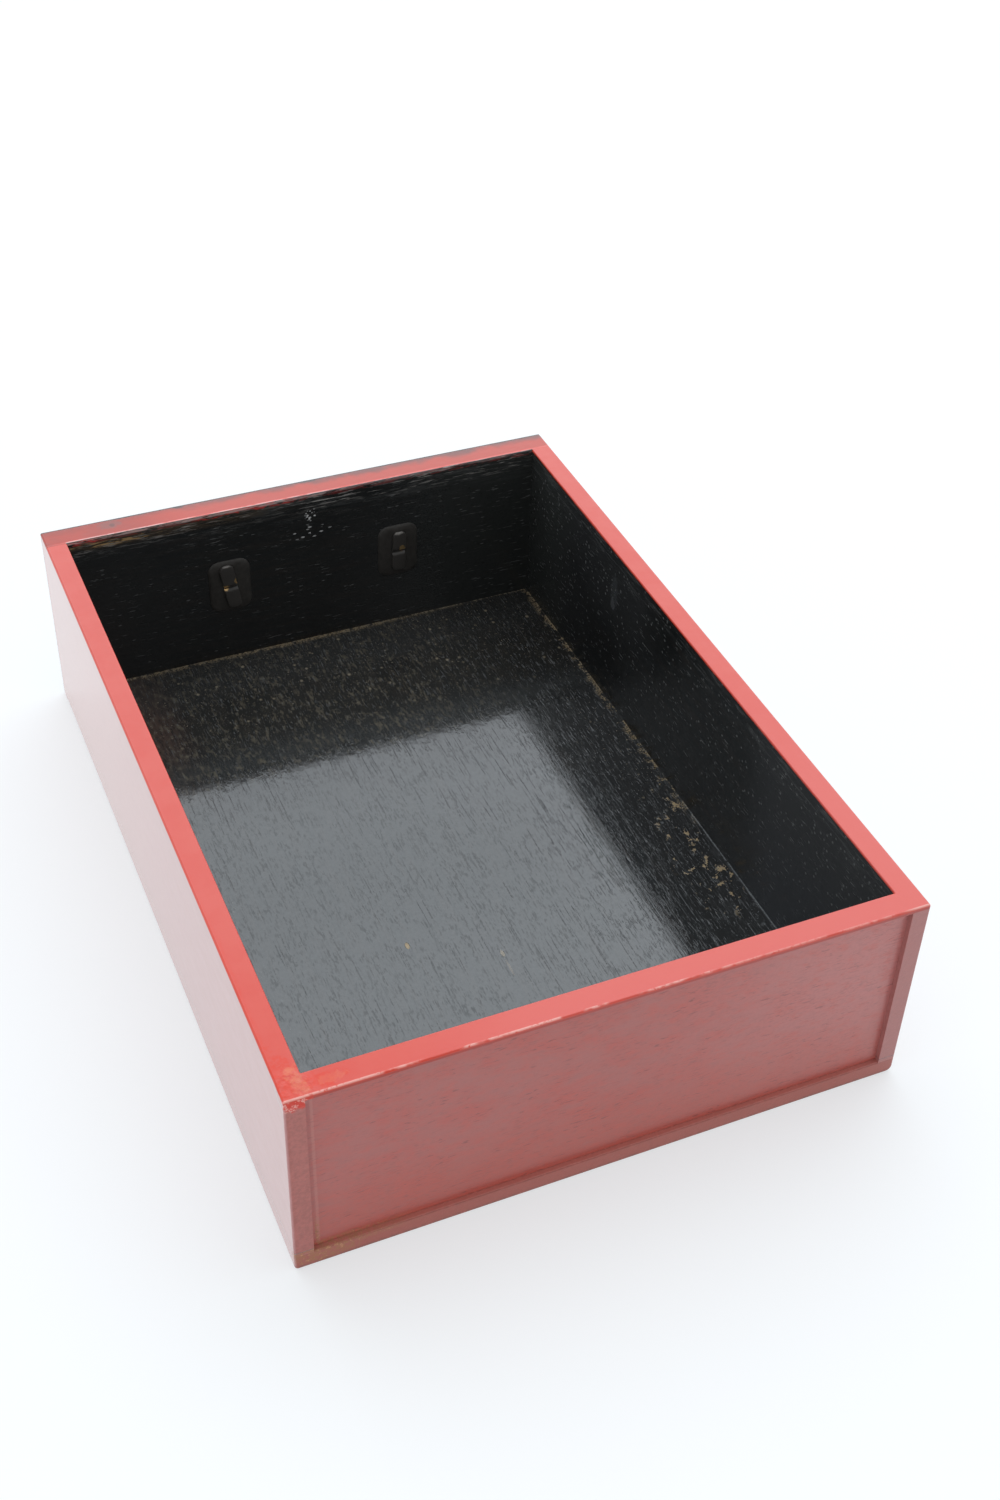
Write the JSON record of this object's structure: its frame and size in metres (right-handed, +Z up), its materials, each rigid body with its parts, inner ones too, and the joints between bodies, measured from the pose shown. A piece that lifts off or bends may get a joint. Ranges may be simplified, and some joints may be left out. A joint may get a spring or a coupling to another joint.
{
  "type": "cabinet drawer",
  "caption": "Small open-topped lacquered drawer of pegged boards with lapped dovetails at the front, and a brass drop handle that swings in the eyes of clinched split pins.",
  "frame": {"origin": "centre of the underside of the drawer box, handle left out", "axes": "+Z up, +Y along the drawer from its front to its back, +X to the right as seen facing the handle"},
  "size_m": [0.16, 0.2334, 0.0595],
  "materials": {
    "black_lacquer": "glossy black lacquer with open grain pores, red at the rim",
    "red_lacquer_side": "satin red lacquer, bleached to a dusty pink",
    "red_lacquer_back": "satin dull red lacquer with grain pores",
    "red_lacquer_bottom": "satin dull red lacquer, worn at the edges, black inside",
    "bamboo": "plain split bamboo",
    "brass": "satin, darkened with age",
    "black_paint": "matt black paint"
  },
  "bodies": {
    "drawer": {"front_board": "black_lacquer", "side_board_left": "red_lacquer_side", "side_board_right": "red_lacquer_side", "back_board": "red_lacquer_back", "bottom_board": "red_lacquer_bottom", "pegs_bottom_to_left_side": "bamboo", "pegs_bottom_to_right_side": "bamboo", "pegs_bottom_to_front": "bamboo", "pegs_bottom_to_back": "bamboo", "pegs_left_side_to_back": "bamboo", "pegs_right_side_to_back": "bamboo", "rosette_left": "brass", "rosette_right": "brass", "backing_plate_left": "black_paint", "backing_plate_right": "black_paint", "split_pin_left": "brass", "split_pin_right": "brass"},
    "handle": {"drop_handle": "brass"}
  },
  "joints": [
    {"name": "handle_swing", "type": "hinge", "parent": "drawer", "child": "handle", "pos_m": [-0.0009, -0.1171, 0.0328], "axis": [-1, 0, 0], "range_deg": [-2.5, 182.5]}
  ]
}
